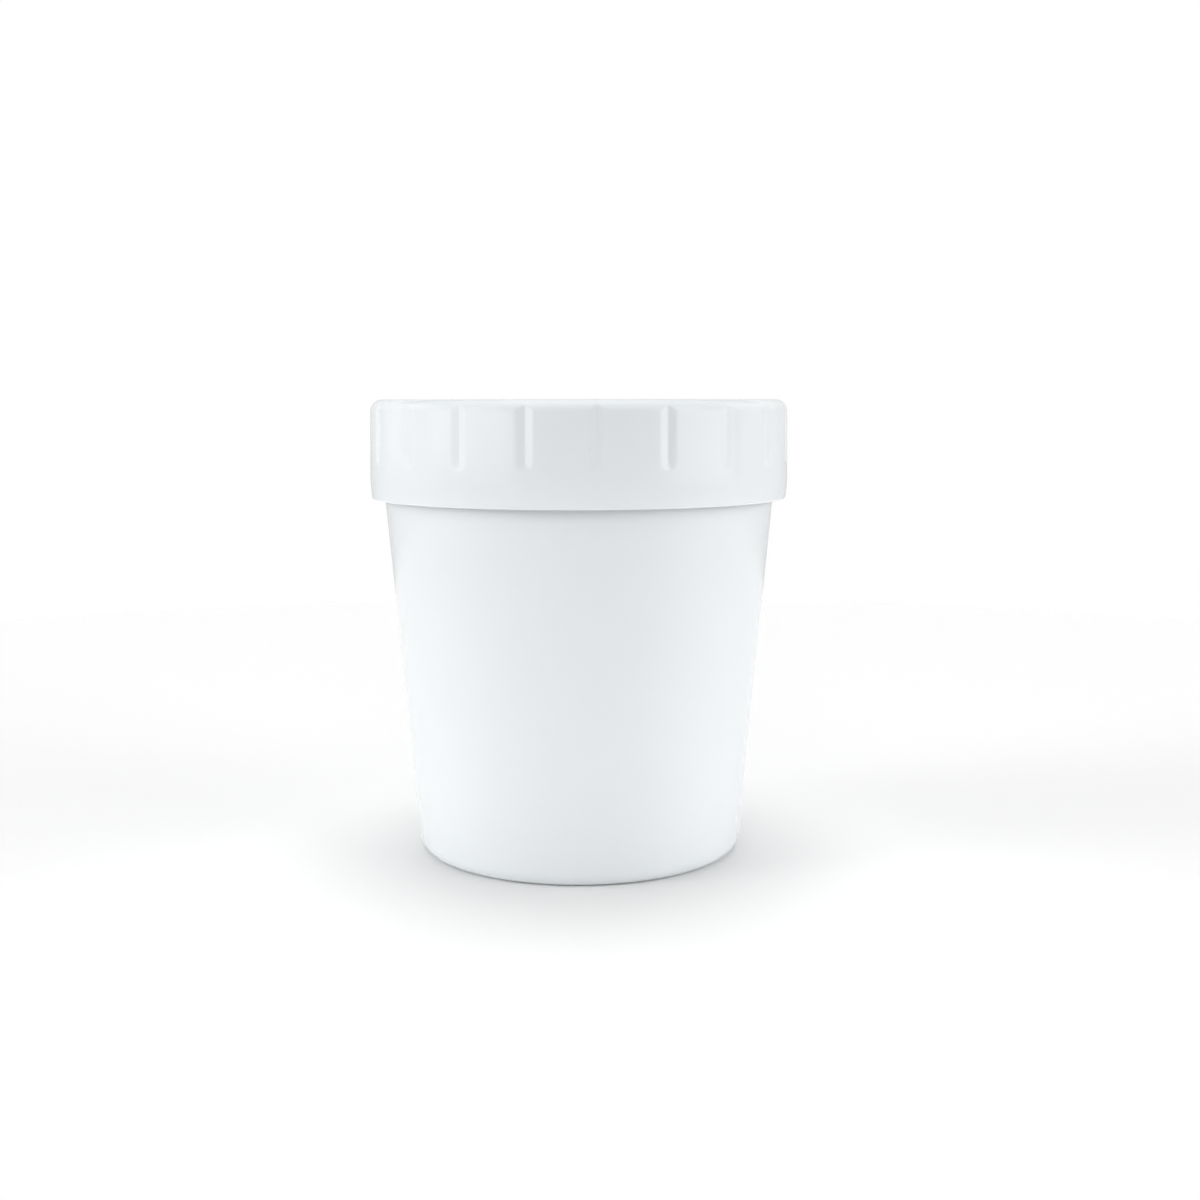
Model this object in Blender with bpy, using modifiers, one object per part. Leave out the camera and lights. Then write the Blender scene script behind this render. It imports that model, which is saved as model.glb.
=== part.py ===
"""Round plastic ice cream tub, standing upright, shut with a fluted push-on lid.

The tub is a tapered pot, filled, because nothing of its inside can be seen. The lid is
a shallow cap whose skirt hangs round the tub's rim and has grip flutes scooped out of it.
Units are metres, +Z is up, and the origin is the middle of the base on the floor.
"""
import bpy
import math

# Whole object
HEIGHT = 0.1093
FACETS = 100
CLEARANCE = 0.0003

# Tub
BASE_RADIUS = 0.0389
WALL_TAPER = math.radians(5.12)
BASE_CORNER = 0.00375
FOOT_RING_WIDTH = 0.0045
BASE_RECESS = 0.0010

# Lid
LID_HEIGHT = 0.02343
LID_TOP_RADIUS = 0.0498
LID_RADIUS = 0.0500
LID_HEM_RADIUS = 0.04968
WIDEST_DEPTH = 0.0180
SHOULDER = 0.00285
HEM_OUTER_ROUND = 0.0005
HEM_INNER_ROUND = 0.0003
PANEL_RADIUS = 0.0412
PANEL_DEPTH = 0.0016
PANEL_STEP_ROUND = 0.0008
LID_WALL = 0.0014
LEDGE_ABOVE_HEM = 0.0040

# Grip flutes in the lid's skirt
FLUTE_COUNT = 20
FLUTE_PHASE = math.radians(5.3)
FLUTE_DEPTH = 0.00047
FLUTE_HALF_WIDTH = 0.00185
FLUTE_END_DEPTH = 0.0134
FLUTE_END_FACETS = 12
CUTTER_OVERSHOOT = 0.0006

SHARP_ANGLE = math.radians(35)
MERGE_DISTANCE = 0.00001

SKIRT_INNER_RADIUS = LID_HEM_RADIUS - LID_WALL
UNDERSIDE_Z = HEIGHT - PANEL_DEPTH - LID_WALL


def clear_scene():
    """Remove every object, so that the file holds the tub alone."""
    for leftover in list(bpy.data.objects):
        bpy.data.objects.remove(leftover)


def new_collection(name):
    """Make a collection and link it to the scene."""
    collection = bpy.data.collections.new(name)
    bpy.context.scene.collection.children.link(collection)
    return collection


def glossy_plastic(name, color, roughness):
    """A white moulded plastic."""
    material = bpy.data.materials.new(name)
    material.use_nodes = True
    shader = material.node_tree.nodes["Principled BSDF"]
    shader.inputs["Base Color"].default_value = (*color, 1.0)
    shader.inputs["Roughness"].default_value = roughness
    shader.inputs["Metallic"].default_value = 0.0
    return material


def arc(centre, radius, start, end, steps):
    """Profile points on an arc; angles are in degrees, 0 outwards and 90 upwards."""
    turns = [math.radians(start + (end - start) * step / steps) for step in range(steps + 1)]
    return [(centre[0] + radius * math.cos(a), centre[1] + radius * math.sin(a)) for a in turns]


def turned(name, profile, collection):
    """Turn a profile of (radius, height) points round the Z axis."""
    mesh = bpy.data.meshes.new(name)
    edges = [(i, i + 1) for i in range(len(profile) - 1)]
    mesh.from_pydata([(radius, 0.0, height) for radius, height in profile], edges, [])
    piece = bpy.data.objects.new(name, mesh)
    collection.objects.link(piece)
    screw = piece.modifiers.new("turn", "SCREW")
    screw.axis = "Z"
    screw.steps = FACETS
    screw.render_steps = FACETS
    screw.use_merge_vertices = True
    screw.merge_threshold = MERGE_DISTANCE
    return piece


def wall_radius(height):
    """The tub's outer radius at a height above the floor."""
    return BASE_RADIUS + height * math.tan(WALL_TAPER)


def tub_profile():
    """The tub's outline: rim under the lid, tapered wall, round corner and foot ring."""
    rim_top = UNDERSIDE_Z - CLEARANCE
    rim_radius = SKIRT_INNER_RADIUS - CLEARANCE
    ledge = HEIGHT - LID_HEIGHT + LEDGE_ABOVE_HEM
    ledge_slope = rim_radius - wall_radius(ledge)
    corner_radius = wall_radius(BASE_CORNER) - BASE_CORNER / math.cos(WALL_TAPER)
    corner = arc((corner_radius, BASE_CORNER), BASE_CORNER, -math.degrees(WALL_TAPER), -90, 7)
    ring_inner = corner_radius - FOOT_RING_WIDTH
    return [
        (0.0, rim_top),
        (rim_radius, rim_top),
        (rim_radius, ledge + ledge_slope),
        (wall_radius(ledge), ledge),
        (wall_radius(HEIGHT - LID_HEIGHT), HEIGHT - LID_HEIGHT),
        (wall_radius(HEIGHT / 2), HEIGHT / 2),
        *corner,
        (ring_inner, 0.0),
        (ring_inner - BASE_RECESS, BASE_RECESS),
        (0.0, BASE_RECESS),
    ]


def lid_profile():
    """The lid's outline: sunk panel, rim, shoulder, skirt, rounded hem and inner face."""
    hem = HEIGHT - LID_HEIGHT
    panel = HEIGHT - PANEL_DEPTH
    step = PANEL_STEP_ROUND
    step_radius = PANEL_RADIUS + step
    shoulder_centre = (LID_TOP_RADIUS - SHOULDER, HEIGHT - SHOULDER)
    hem_outer = (LID_HEM_RADIUS - HEM_OUTER_ROUND, hem + HEM_OUTER_ROUND)
    hem_inner = (SKIRT_INNER_RADIUS + HEM_INNER_ROUND, hem + HEM_INNER_ROUND)
    return [
        (0.0, panel),
        *arc((PANEL_RADIUS, panel + step), step, -90, 0, 3),
        *arc((step_radius + step, HEIGHT - step), step, 180, 90, 3),
        *arc(shoulder_centre, SHOULDER, 90, 0, 8),
        (LID_RADIUS, HEIGHT - WIDEST_DEPTH),
        *arc(hem_outer, HEM_OUTER_ROUND, 0, -90, 4),
        *arc(hem_inner, HEM_INNER_ROUND, -90, -180, 2),
        (SKIRT_INNER_RADIUS, UNDERSIDE_Z),
        (0.0, UNDERSIDE_Z),
    ]


def flute_cutter(number, collection):
    """A shallow V-shaped wedge with a half-cone foot, leaning with the skirt's draft."""
    top = FLUTE_END_DEPTH + CUTTER_OVERSHOOT
    half_width = FLUTE_HALF_WIDTH * (FLUTE_DEPTH + CUTTER_OVERSHOOT) / FLUTE_DEPTH
    foot = arc((0.0, 0.0), half_width, 0, -180, FLUTE_END_FACETS)
    outline = [(half_width, top), *foot, (-half_width, top)]
    points = [(CUTTER_OVERSHOOT, across, height) for across, height in outline]
    last = len(points) - 1
    root_top = len(points)
    root_foot = root_top + 1
    points += [(-FLUTE_DEPTH, 0.0, top), (-FLUTE_DEPTH, 0.0, 0.0)]
    faces = [(root_foot, i, i + 1) for i in range(1, last - 1)]
    faces += [(root_top, 0, 1, root_foot), (root_foot, last - 1, last, root_top), (root_top, last, 0)]
    faces.append(tuple(range(last, -1, -1)))
    mesh = bpy.data.meshes.new(f"flute_cutter_{number:02d}")
    mesh.from_pydata(points, [], faces)
    cutter = bpy.data.objects.new(mesh.name, mesh)
    collection.objects.link(cutter)
    draft = math.atan2(LID_RADIUS - LID_TOP_RADIUS, WIDEST_DEPTH - SHOULDER)
    skirt_radius = LID_RADIUS - (WIDEST_DEPTH - FLUTE_END_DEPTH) * math.tan(draft)
    turn = FLUTE_PHASE + number * math.tau / FLUTE_COUNT
    cutter.location = (
        skirt_radius * math.cos(turn),
        skirt_radius * math.sin(turn),
        HEIGHT - FLUTE_END_DEPTH,
    )
    cutter.rotation_euler = (0.0, -draft, turn)
    cutter.display_type = "WIRE"
    cutter.hide_render = True
    return cutter


def scoop_flutes(lid, cutters):
    """Cut every flute out of the lid's skirt."""
    for number in range(FLUTE_COUNT):
        flute_cutter(number, cutters)
    scoop = lid.modifiers.new("flutes", "BOOLEAN")
    scoop.operation = "DIFFERENCE"
    scoop.operand_type = "COLLECTION"
    scoop.collection = cutters


def finish_mesh(piece, material):
    """Apply the modifiers, shade the round faces smooth and give the piece its material."""
    depsgraph = bpy.context.evaluated_depsgraph_get()
    mesh = bpy.data.meshes.new_from_object(piece.evaluated_get(depsgraph))
    piece.modifiers.clear()
    piece.data = mesh
    mesh.name = piece.name
    mesh.materials.clear()
    mesh.materials.append(material)
    mesh.shade_smooth()
    mesh.set_sharp_from_angle(angle=SHARP_ANGLE)


def main():
    clear_scene()
    parts = new_collection("ice_cream_tub")
    cutters = new_collection("cutters")

    tub = turned("tub", tub_profile(), parts)
    lid = turned("lid", lid_profile(), parts)
    scoop_flutes(lid, cutters)

    finish_mesh(tub, glossy_plastic("tub_plastic", (0.87, 0.90, 0.915), 0.13))
    finish_mesh(lid, glossy_plastic("lid_plastic", (0.895, 0.925, 0.945), 0.10))


main()
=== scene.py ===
"""Looks of the shut white ice cream tub: smooth moulded shapes, glossy plastic, floor, light, camera."""
import math

import bpy
import numpy as np
from mathutils import Euler, Matrix, Vector


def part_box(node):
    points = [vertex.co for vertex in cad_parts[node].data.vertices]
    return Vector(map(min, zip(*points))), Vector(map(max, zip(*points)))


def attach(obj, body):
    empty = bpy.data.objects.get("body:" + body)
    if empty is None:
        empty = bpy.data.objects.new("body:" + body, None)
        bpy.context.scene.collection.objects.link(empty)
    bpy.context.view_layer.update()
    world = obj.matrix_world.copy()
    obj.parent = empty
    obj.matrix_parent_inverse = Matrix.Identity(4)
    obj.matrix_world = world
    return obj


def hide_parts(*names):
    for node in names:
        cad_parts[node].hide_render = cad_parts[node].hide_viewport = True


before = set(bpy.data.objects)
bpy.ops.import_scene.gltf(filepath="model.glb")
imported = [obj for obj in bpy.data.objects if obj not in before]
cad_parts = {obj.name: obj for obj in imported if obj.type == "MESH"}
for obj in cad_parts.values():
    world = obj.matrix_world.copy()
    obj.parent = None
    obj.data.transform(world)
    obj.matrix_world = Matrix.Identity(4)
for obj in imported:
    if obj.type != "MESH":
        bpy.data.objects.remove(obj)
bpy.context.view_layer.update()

# Sizes that the frame gives, in metres
lid_low, lid_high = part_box("lid")
tub_low, tub_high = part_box("tub")
HEIGHT = lid_high.z
HEM_Z = lid_low.z
LID_RADIUS = lid_high.x
RIM_RADIUS = tub_high.x
RIM_TOP_Z = tub_high.z

# Tub
BASE_RADIUS = 0.0389
WALL_TAPER = math.radians(5.12)
BASE_CORNER = 0.00375
FOOT_RING_WIDTH = 0.0045
BASE_RECESS = 0.0010
LEDGE_ABOVE_HEM = 0.0040
TUB_COLUMNS = 256

# Lid
LID_TOP_RADIUS = LID_RADIUS - 0.0002
LID_HEM_RADIUS = LID_RADIUS - 0.00032
WIDEST_DEPTH = 0.0180
SHOULDER = 0.00285
HEM_OUTER_ROUND = 0.0005
HEM_INNER_ROUND = 0.0003
PANEL_RADIUS = 0.0412
PANEL_DEPTH = 0.0016
PANEL_STEP_ROUND = 0.0008
LID_WALL = 0.0014
SKIRT_INNER_RADIUS = LID_HEM_RADIUS - LID_WALL
SKIRT_DRAFT = (LID_RADIUS - LID_TOP_RADIUS) / (WIDEST_DEPTH - SHOULDER)

# Grip flutes; the mesh has closer columns near each flute's middle and closer rows at its foot
FLUTE_COUNT = 20
FLUTE_PHASE = math.radians(5.3)
FLUTE_DEPTH = 0.00047
FLUTE_HALF_WIDTH = 0.00185
FLUTE_END_DEPTH = 0.0134
FLUTE_EDGE_ROUND = 0.00010
FLUTE_ROOT_ROUND = 0.00012
FLUTE_FOOT = 0.0030
FLUTE_HALF_ANGLE = math.radians(3.0)
FLUTE_COLUMNS = 27
BETWEEN_COLUMNS = 8

# Plastic: white tones, mottling that varies tone and gloss by a share, and orange peel
TUB_WHITE = (0.868, 0.90, 0.916)
TUB_ROUGHNESS = 0.13
LID_WHITE = (0.895, 0.927, 0.948)
LID_ROUGHNESS = 0.10
PLASTIC_IOR = 1.5
MOTTLE_SCALE = 60.0
MOTTLE_DETAIL = 3.0
MOTTLE_TONE = 0.01
MOTTLE_GLOSS = 0.15
PEEL_SCALE = 500.0
PEEL_DETAIL = 1.0
PEEL_STRENGTH = 0.15
PEEL_DEPTH = 0.00002

# Specks of dirt on the lid's skirt: angle from +X and depth below the top
SPECKS = ((math.radians(-86.6), 0.01054), (math.radians(-65.6), 0.01159))
SPECK_RADIUS = 0.00034
SPECK_DARKNESS = 0.17
SPECK_COLOR = (0.0, 0.0, 0.0, 1.0)

# Painted shade: a dark tone on the faces within the skirt, between the hem and the underside of the lid,
# standing in for the shade in the ring gap
GAP_PAINTED_SHADE = (0.16, 0.17, 0.175, 1.0)
PAINTED_SHADE_RADIUS = SKIRT_INNER_RADIUS + 0.0001
PAINTED_SHADE_TOP_Z = HEIGHT - PANEL_DEPTH - LID_WALL / 2

# Floor
FLOOR_RADIUS = 0.5
FLOOR_SIDES = 128
FLOOR_COLOR = (0.975, 0.975, 0.975, 1.0)

# Soft lamps: where each shines from (degrees from the camera side, degrees up), how wide, how bright
LAMPS = {
    "overhead": (180.0, 84.0, 41.0, 0.75),
    "over_back": (180.0, 78.0, 34.0, 1.07),
    "high_left": (-38.0, 48.0, 36.0, 0.28),
    "high_right": (38.0, 48.0, 36.0, 0.21),
    "side_left": (-88.0, 14.0, 44.0, 0.82),
    "side_right": (88.0, 14.0, 44.0, 1.02),
    "low_left": (-70.0, 12.0, 24.0, 0.8),
    "low_right": (60.0, 12.0, 24.0, 0.53),
    "mid_front": (0.0, 30.0, 34.0, 0.34),
    "mid_left": (-65.0, 32.0, 34.0, 0.11),
    "mid_right": (60.0, 32.0, 34.0, 0.12),
}

# Windows and walls that the gloss mirrors: from and to (degrees from the camera side), edge widths,
# lowest and highest (degrees up), edge widths, brightness
ROOM = {
    "front": ((-82.0, 90.0), (16.0, 3.0), (-1.5, 50.0), (2.0, 14.0), 0.25),
    "left_window": ((-84.0, -35.0), (10.0, 5.0), (-0.9, 16.0), (1.0, 6.0), 1.99),
    "left_strip": ((-80.0, -44.0), (8.0, 4.0), (19.0, 35.0), (3.0, 5.0), 1.81),
    "right_window": ((50.0, 90.0), (2.0, 3.0), (-1.8, 16.0), (1.0, 6.0), 1.28),
    "right_strip": ((47.0, 70.0), (3.0, 8.0), (16.0, 33.0), (3.0, 5.0), 1.98),
    "left_side": ((-125.0, -82.0), (14.0, 16.0), (-1.5, 38.0), (2.0, 8.0), 1.28),
    "right_side": ((97.0, 135.0), (4.0, 30.0), (-1.5, 42.0), (2.0, 8.0), 0.83),
    "back": ((135.0, 235.0), (30.0, 14.0), (-1.5, 30.0), (2.0, 8.0), 0.72),
    "far_table": ((-190.0, 190.0), (1.0, 1.0), (-30.0, -1.5), (1.0, 2.0), 0.63),
}
WHITE = (1.0, 1.0, 1.0, 1.0)

# Camera, from the photograph's outline
IMAGE_WIDTH = 1200
FOCAL_PIXELS = 1606
SENSOR_MM = 36.0
CAMERA_DISTANCE = 0.3893
CAMERA_SIDE = 0.00501
CAMERA_BELOW_LID_TOP = 0.00054
CAMERA_TILT = math.radians(7.045)
CAMERA_ROLL = math.radians(-0.07)


def arc(centre, radius, start, end, steps):
    """Profile points on an arc; angles are in degrees, 0 outwards and 90 upwards."""
    turns = [math.radians(start + (end - start) * step / steps) for step in range(steps + 1)]
    return [(centre[0] + radius * math.cos(a), centre[1] + radius * math.sin(a)) for a in turns]


def line(start, end, steps):
    """Profile points along a straight stretch, without its first point."""
    shares = [step / steps for step in range(1, steps + 1)]
    return [(start[0] + (end[0] - start[0]) * s, start[1] + (end[1] - start[1]) * s) for s in shares]


def smooth_min(a, b, width):
    """The lesser of two arrays, with the crease between them rounded over a width."""
    share = np.clip(0.5 + 0.5 * (b - a) / width, 0.0, 1.0)
    return b * (1 - share) + a * share - width * share * (1 - share)


def wall_radius(height):
    """The tub's outer radius at a height above the floor."""
    return BASE_RADIUS + height * math.tan(WALL_TAPER)


def turned_mesh(name, radii, heights, angles):
    """A closed turned mesh: a radius for each profile height and angle, and both ends on the axis."""
    rows, columns = radii.shape
    x = radii * np.cos(angles)
    y = radii * np.sin(angles)
    z = np.broadcast_to(heights[:, None], radii.shape)
    inner = np.stack([x, y, z], axis=2)[1:-1].reshape(-1, 3)
    points = [(0.0, 0.0, heights[0]), *inner.tolist(), (0.0, 0.0, heights[-1])]
    last = len(points) - 1
    faces = []
    for column in range(columns):
        following = (column + 1) % columns
        faces.append((0, 1 + column, 1 + following))
        for row in range(rows - 3):
            here = 1 + row * columns
            below = here + columns
            faces.append((here + column, below + column, below + following, here + following))
        bottom = 1 + (rows - 3) * columns
        faces.append((bottom + column, last, bottom + following))
    mesh = bpy.data.meshes.new(name)
    mesh.from_pydata(points, [], faces)
    mesh.shade_smooth()
    return mesh


def add_piece(name, mesh, material, node):
    """Put a piece in the scene in place of its CAD node, with the node's plastic."""
    piece = bpy.data.objects.new(name, mesh)
    bpy.context.scene.collection.objects.link(piece)
    mesh.materials.append(material)
    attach(piece, "root")
    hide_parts(node)


def tub_profile():
    """The tub's outline from the middle of its rim to the middle of its base."""
    ledge = HEM_Z + LEDGE_ABOVE_HEM
    ledge_slope = RIM_RADIUS - wall_radius(ledge)
    corner_radius = wall_radius(BASE_CORNER) - BASE_CORNER / math.cos(WALL_TAPER)
    corner = arc((corner_radius, BASE_CORNER), BASE_CORNER, -math.degrees(WALL_TAPER), -90, 20)
    ring_inner = corner_radius - FOOT_RING_WIDTH
    points = [(0.0, RIM_TOP_Z)]
    points += line(points[-1], (RIM_RADIUS, RIM_TOP_Z), 6)
    points += line(points[-1], (RIM_RADIUS, ledge + ledge_slope), 4)
    points += line(points[-1], (wall_radius(ledge), ledge), 2)
    points += line(points[-1], corner[0], 60)
    points += corner[1:]
    points += line(points[-1], (ring_inner, 0.0), 3)
    points += arc((ring_inner, BASE_RECESS), BASE_RECESS, -90, -180, 6)[1:]
    points += line(points[-1], (0.0, BASE_RECESS), 6)
    return points


def make_tub(material):
    """The tapered pot."""
    profile = np.array(tub_profile())
    angles = np.linspace(0.0, math.tau, TUB_COLUMNS, endpoint=False)
    radii = np.repeat(profile[:, :1], TUB_COLUMNS, axis=1)
    mesh = turned_mesh("tub_shell", radii, profile[:, 1], angles)
    add_piece("tub_shell", mesh, material, "tub")


def lid_profile():
    """The lid's outline, and which of its points lie on the outer face that the flutes cut."""
    panel = HEIGHT - PANEL_DEPTH
    step = PANEL_STEP_ROUND
    step_radius = PANEL_RADIUS + step
    shoulder_centre = (LID_TOP_RADIUS - SHOULDER, HEIGHT - SHOULDER)
    hem_outer = (LID_HEM_RADIUS - HEM_OUTER_ROUND, HEM_Z + HEM_OUTER_ROUND)
    hem_inner = (SKIRT_INNER_RADIUS + HEM_INNER_ROUND, HEM_Z + HEM_INNER_ROUND)
    widest = (LID_RADIUS, HEIGHT - WIDEST_DEPTH)
    underside = HEIGHT - PANEL_DEPTH - LID_WALL
    top = [(0.0, panel)]
    top += line(top[-1], (PANEL_RADIUS, panel), 10)
    top += arc((PANEL_RADIUS, panel + step), step, -90, 0, 6)[1:]
    top += arc((step_radius + step, HEIGHT - step), step, 180, 90, 6)
    top += line(top[-1], (shoulder_centre[0], HEIGHT), 4)[:-1]
    outer = arc(shoulder_centre, SHOULDER, 90, 0, 24)
    outer += line(outer[-1], (LID_TOP_RADIUS, HEIGHT - FLUTE_END_DEPTH), 12)
    outer += line(outer[-1], (LID_TOP_RADIUS, HEIGHT - FLUTE_END_DEPTH - FLUTE_FOOT), 16)
    outer += line(outer[-1], widest, 3)
    hem = arc(hem_outer, HEM_OUTER_ROUND, 0, -90, 10)
    outer += line(outer[-1], hem[0], 10)
    rest = hem[1:]
    rest += arc(hem_inner, HEM_INNER_ROUND, -90, -180, 5)
    rest += line(rest[-1], (SKIRT_INNER_RADIUS, underside), 6)
    rest += line(rest[-1], (0.0, underside), 4)
    profile = np.array(top + outer + rest)
    fluted = np.zeros(len(profile), bool)
    fluted[len(top):len(top) + len(outer)] = True
    return profile, fluted


def draft_radius(depth):
    """Outer radius at a depth below the top, by the skirt's draft alone."""
    return LID_RADIUS - (WIDEST_DEPTH - depth) * SKIRT_DRAFT


def skirt_radius(depth):
    """Outer radius of the plain skirt at a depth below the top: widest, then drawn in to the hem."""
    curl_depth = HEIGHT - HEM_Z - HEM_OUTER_ROUND - WIDEST_DEPTH
    curl = np.clip((depth - WIDEST_DEPTH) / curl_depth, 0.0, 1.0)
    below = LID_RADIUS - (LID_RADIUS - LID_HEM_RADIUS) * curl ** 2
    return np.where(depth < WIDEST_DEPTH, draft_radius(depth), below)


def flute_angles():
    """Angles of the lid's columns, close together across each flute and wide apart between."""
    half_pitch = math.pi / FLUTE_COUNT
    across = np.linspace(-FLUTE_HALF_ANGLE, FLUTE_HALF_ANGLE, FLUTE_COLUMNS)
    between = np.linspace(FLUTE_HALF_ANGLE, 2 * half_pitch - FLUTE_HALF_ANGLE, BETWEEN_COLUMNS)[1:-1]
    one = np.concatenate([across, between])
    turns = FLUTE_PHASE + np.arange(FLUTE_COUNT) * 2 * half_pitch
    return (turns[:, None] + one[None, :]).ravel()


def flute_radius(depth, angles):
    """Distance from the axis to the nearest flute's V-shaped face, which ends in a half cone."""
    skirt = draft_radius(depth)
    past_end = np.clip(depth - FLUTE_END_DEPTH, 0.0, None)
    pitch = math.tau / FLUTE_COUNT
    offset = (angles - FLUTE_PHASE + pitch / 2) % pitch - pitch / 2
    across = skirt[:, None] * np.sin(offset)[None, :]
    from_root = np.sqrt(across ** 2 + past_end[:, None] ** 2 + FLUTE_ROOT_ROUND ** 2)
    return skirt[:, None] - FLUTE_DEPTH * (1.0 - from_root / FLUTE_HALF_WIDTH)


def make_lid(material):
    """The cap with its fluted skirt."""
    profile, fluted = lid_profile()
    angles = flute_angles()
    heights = profile[:, 1]
    depth = HEIGHT - heights
    base = profile[:, 0].copy()
    straight = fluted & (depth >= SHOULDER)
    base[straight] = skirt_radius(depth[straight])
    radii = np.repeat(base[:, None], len(angles), axis=1)
    cut = smooth_min(radii, flute_radius(depth, angles), FLUTE_EDGE_ROUND)
    radii[fluted] = cut[fluted]
    mesh = turned_mesh("lid_shell", radii, heights, angles)
    add_piece("lid_shell", mesh, material, "lid")


def shader_of(material):
    """The material's Principled shader node."""
    return material.node_tree.nodes["Principled BSDF"]


def white_plastic(name, color, roughness):
    """Glossy moulded plastic with faint mottling, uneven gloss and a slight orange peel.

    The shader's own colour and roughness sockets keep the plain values under their links.
    """
    material = bpy.data.materials.new(name)
    material.use_nodes = True
    nodes = material.node_tree.nodes
    links = material.node_tree.links
    shader = shader_of(material)
    shader.inputs["IOR"].default_value = PLASTIC_IOR
    shader.inputs["Base Color"].default_value = (*color, 1.0)
    shader.inputs["Roughness"].default_value = roughness

    place = nodes.new("ShaderNodeTexCoord")
    cloud = nodes.new("ShaderNodeTexNoise")
    cloud.inputs["Scale"].default_value = MOTTLE_SCALE
    cloud.inputs["Detail"].default_value = MOTTLE_DETAIL
    links.new(place.outputs["Object"], cloud.inputs["Vector"])

    tone = nodes.new("ShaderNodeMix")
    tone.data_type = "RGBA"
    tone.inputs["A"].default_value = (*[c * (1.0 - MOTTLE_TONE) for c in color], 1.0)
    tone.inputs["B"].default_value = (*[c * (1.0 + MOTTLE_TONE) for c in color], 1.0)
    links.new(cloud.outputs["Fac"], tone.inputs["Factor"])
    links.new(tone.outputs["Result"], shader.inputs["Base Color"])

    gloss = nodes.new("ShaderNodeMapRange")
    gloss.inputs["To Min"].default_value = roughness * (1.0 - MOTTLE_GLOSS)
    gloss.inputs["To Max"].default_value = roughness * (1.0 + MOTTLE_GLOSS)
    links.new(cloud.outputs["Fac"], gloss.inputs["Value"])
    links.new(gloss.outputs["Result"], shader.inputs["Roughness"])

    peel = nodes.new("ShaderNodeTexNoise")
    peel.inputs["Scale"].default_value = PEEL_SCALE
    peel.inputs["Detail"].default_value = PEEL_DETAIL
    links.new(place.outputs["Object"], peel.inputs["Vector"])
    bump = nodes.new("ShaderNodeBump")
    bump.inputs["Strength"].default_value = PEEL_STRENGTH
    bump.inputs["Distance"].default_value = PEEL_DEPTH
    links.new(peel.outputs["Fac"], bump.inputs["Height"])
    links.new(bump.outputs["Normal"], shader.inputs["Normal"])
    return material


def mix_over(material, color, share):
    """Lay a colour over the material's colour, as much as a socket's value says."""
    nodes = material.node_tree.nodes
    links = material.node_tree.links
    shown = shader_of(material).inputs["Base Color"]
    mix = nodes.new("ShaderNodeMix")
    mix.data_type = "RGBA"
    mix.inputs["B"].default_value = color
    links.new(share, mix.inputs["Factor"])
    links.new(shown.links[0].from_socket, mix.inputs["A"])
    links.new(mix.outputs["Result"], shown)


def math_node(tree, operation, *values):
    """A math node on numbers or sockets, and its result."""
    node = tree.nodes.new("ShaderNodeMath")
    node.operation = operation
    for socket, value in zip(node.inputs, values):
        if isinstance(value, float):
            socket.default_value = value
        else:
            tree.links.new(value, socket)
    return node.outputs[0]


def paint_gap_shade(material):
    """Painted shade: a dark tone on the faces that the skirt surrounds, standing in for the ring gap's
    shade.
    """
    tree = material.node_tree
    place = tree.nodes["Texture Coordinate"].outputs["Object"]
    flat = tree.nodes.new("ShaderNodeVectorMath")
    flat.operation = "MULTIPLY"
    flat.inputs[1].default_value = (1.0, 1.0, 0.0)
    tree.links.new(place, flat.inputs[0])
    distance = tree.nodes.new("ShaderNodeVectorMath")
    distance.operation = "LENGTH"
    tree.links.new(flat.outputs["Vector"], distance.inputs[0])
    split = tree.nodes.new("ShaderNodeSeparateXYZ")
    tree.links.new(place, split.inputs[0])
    within = math_node(tree, "LESS_THAN", distance.outputs["Value"], PAINTED_SHADE_RADIUS)
    above = math_node(tree, "GREATER_THAN", split.outputs["Z"], HEM_Z)
    below = math_node(tree, "LESS_THAN", split.outputs["Z"], PAINTED_SHADE_TOP_Z)
    inside = math_node(tree, "MULTIPLY", within, math_node(tree, "MULTIPLY", above, below))
    mix_over(material, GAP_PAINTED_SHADE, inside)


def add_specks(material):
    """Tiny grey specks on the lid's skirt, each a soft spot round its own point."""
    tree = material.node_tree
    place = tree.nodes["Texture Coordinate"].outputs["Object"]
    for turn, depth in SPECKS:
        distance = tree.nodes.new("ShaderNodeVectorMath")
        distance.operation = "DISTANCE"
        distance.inputs[1].default_value = (
            LID_RADIUS * math.cos(turn),
            LID_RADIUS * math.sin(turn),
            HEIGHT - depth,
        )
        tree.links.new(place, distance.inputs[0])
        spot = tree.nodes.new("ShaderNodeMapRange")
        spot.interpolation_type = "SMOOTHSTEP"
        spot.inputs["From Max"].default_value = SPECK_RADIUS
        spot.inputs["To Min"].default_value = SPECK_DARKNESS
        spot.inputs["To Max"].default_value = 0.0
        tree.links.new(distance.outputs["Value"], spot.inputs["Value"])
        mix_over(material, SPECK_COLOR, spot.outputs["Result"])


def make_floor():
    """A matt white table top."""
    bpy.ops.mesh.primitive_circle_add(vertices=FLOOR_SIDES, radius=FLOOR_RADIUS, fill_type="NGON")
    floor = bpy.context.object
    floor.name = "floor"
    material = bpy.data.materials.new("floor_white")
    material.use_nodes = True
    shader = shader_of(material)
    shader.inputs["Base Color"].default_value = FLOOR_COLOR
    shader.inputs["Roughness"].default_value = 1.0
    shader.inputs["Specular IOR Level"].default_value = 0.0
    floor.data.materials.append(material)


def direction(turn, rise):
    """Unit vector to a place that many degrees round from the camera side and up."""
    a = math.radians(turn)
    e = math.radians(rise)
    return Vector((math.sin(a) * math.cos(e), -math.cos(a) * math.cos(e), math.sin(e)))


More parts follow.
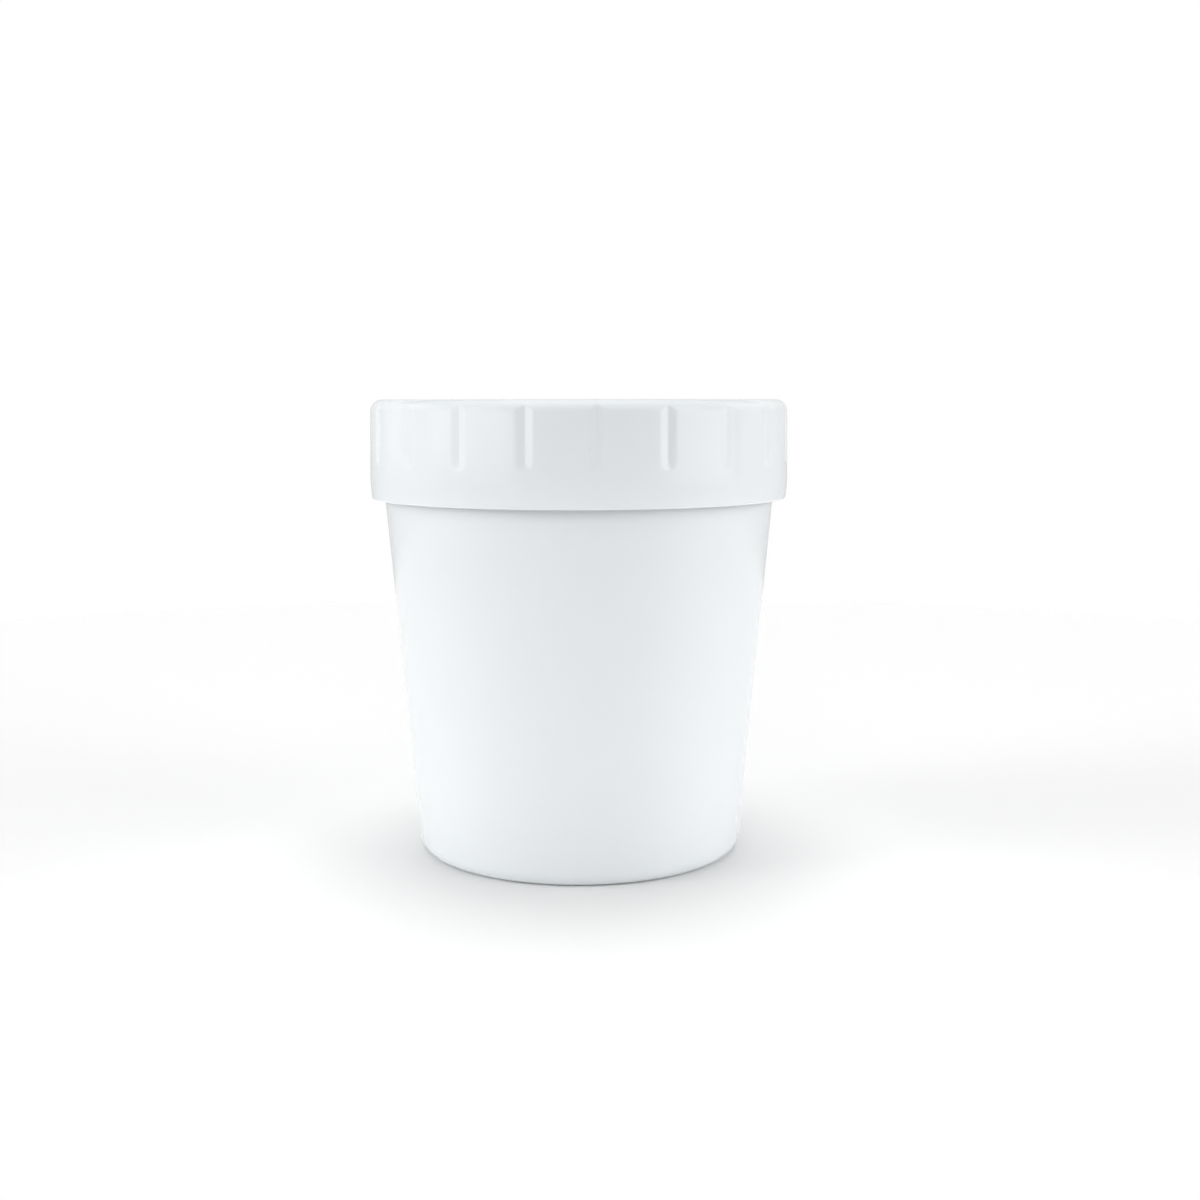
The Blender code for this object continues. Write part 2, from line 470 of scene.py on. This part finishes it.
def make_lamps():
    """Soft lamps that light the matt colour; the gloss mirrors the room instead."""
    for name, (turn, rise, width, strength) in LAMPS.items():
        data = bpy.data.lights.new(name, "SUN")
        lamp = bpy.data.objects.new(name, data)
        bpy.context.scene.collection.objects.link(lamp)
        lamp.rotation_euler = direction(turn, rise).to_track_quat("Z", "Y").to_euler()
        lamp.visible_camera = False
        lamp.visible_glossy = False
        data.angle = math.radians(width)
        data.energy = strength


def ramp(tree, source, start, stop, values):
    """A smooth step from one value to another while a socket goes from start to stop."""
    node = tree.nodes.new("ShaderNodeMapRange")
    node.interpolation_type = "SMOOTHSTEP"
    node.inputs["From Min"].default_value = start
    node.inputs["From Max"].default_value = stop
    node.inputs["To Min"].default_value, node.inputs["To Max"].default_value = values
    tree.links.new(source, node.inputs["Value"])
    return node.outputs["Result"]


def between(tree, source, ends, edges):
    """How far an angle lies between two ends, which are soft over the widths of their edges."""
    middle = sum(ends) / 2
    centred = math_node(tree, "SUBTRACT", source, math.radians(middle))
    angle = math_node(tree, "WRAP", centred, math.pi, -math.pi)
    low, high = (math.radians(end - middle) for end in ends)
    low_edge, high_edge = (math.radians(edge) / 2 for edge in edges)
    rising = ramp(tree, angle, low - low_edge, low + low_edge, (0.0, 1.0))
    falling = ramp(tree, angle, high - high_edge, high + high_edge, (1.0, 0.0))
    return math_node(tree, "MULTIPLY", rising, falling)


def make_room():
    """A room of soft-edged windows by direction, seen in the gloss alone; the camera sees plain white."""
    world = bpy.data.worlds.new("room")
    bpy.context.scene.world = world
    world.use_nodes = True
    tree = world.node_tree
    tree.nodes.clear()

    place = tree.nodes.new("ShaderNodeTexCoord")
    split = tree.nodes.new("ShaderNodeSeparateXYZ")
    tree.links.new(place.outputs["Generated"], split.inputs[0])
    behind = math_node(tree, "MULTIPLY", split.outputs["Y"], -1.0)
    turn = math_node(tree, "ARCTAN2", split.outputs["X"], behind)
    rise = math_node(tree, "ARCSINE", split.outputs["Z"])

    path = tree.nodes.new("ShaderNodeLightPath")
    mirrored = path.outputs["Is Glossy Ray"]
    total = None
    for turns, turn_edges, rises, rise_edges, brightness in ROOM.values():
        across = between(tree, turn, turns, turn_edges)
        upward = between(tree, rise, rises, rise_edges)
        window = math_node(tree, "MULTIPLY", across, upward)
        glow = math_node(tree, "MULTIPLY", math_node(tree, "MULTIPLY", window, mirrored), brightness)
        total = glow if total is None else math_node(tree, "ADD", total, glow)

    room = tree.nodes.new("ShaderNodeBackground")
    room.inputs["Color"].default_value = WHITE
    tree.links.new(total, room.inputs["Strength"])
    ground = tree.nodes.new("ShaderNodeBackground")
    ground.inputs["Color"].default_value = WHITE
    choose = tree.nodes.new("ShaderNodeMixShader")
    tree.links.new(path.outputs["Is Camera Ray"], choose.inputs[0])
    tree.links.new(room.outputs[0], choose.inputs[1])
    tree.links.new(ground.outputs[0], choose.inputs[2])
    output = tree.nodes.new("ShaderNodeOutputWorld")
    tree.links.new(choose.outputs[0], output.inputs["Surface"])


def make_camera():
    """The photograph's camera: level with the lid's top, looking slightly down."""
    data = bpy.data.cameras.new("camera")
    camera = bpy.data.objects.new("camera", data)
    bpy.context.scene.collection.objects.link(camera)
    data.sensor_width = SENSOR_MM
    data.lens = SENSOR_MM * FOCAL_PIXELS / IMAGE_WIDTH
    camera.location = (CAMERA_SIDE, -CAMERA_DISTANCE, HEIGHT - CAMERA_BELOW_LID_TOP)
    tilt = Euler((math.pi / 2 - CAMERA_TILT, 0.0, 0.0)).to_matrix()
    roll = Matrix.Rotation(CAMERA_ROLL, 3, "Z")
    camera.rotation_euler = (tilt @ roll).to_euler()
    bpy.context.scene.camera = camera


tub_plastic = white_plastic("tub_plastic", TUB_WHITE, TUB_ROUGHNESS)
# Painted shade on the tub's faces in the ring gap, a dark tone standing in for the gap's shade
paint_gap_shade(tub_plastic)
make_tub(tub_plastic)
lid_plastic = white_plastic("lid_plastic", LID_WHITE, LID_ROUGHNESS)
# Painted shade on the lid's faces in the ring gap, a dark tone standing in for the gap's shade
paint_gap_shade(lid_plastic)
add_specks(lid_plastic)
make_lid(lid_plastic)
make_floor()
make_lamps()
make_room()
make_camera()
bpy.context.scene.view_settings.view_transform = "Standard"
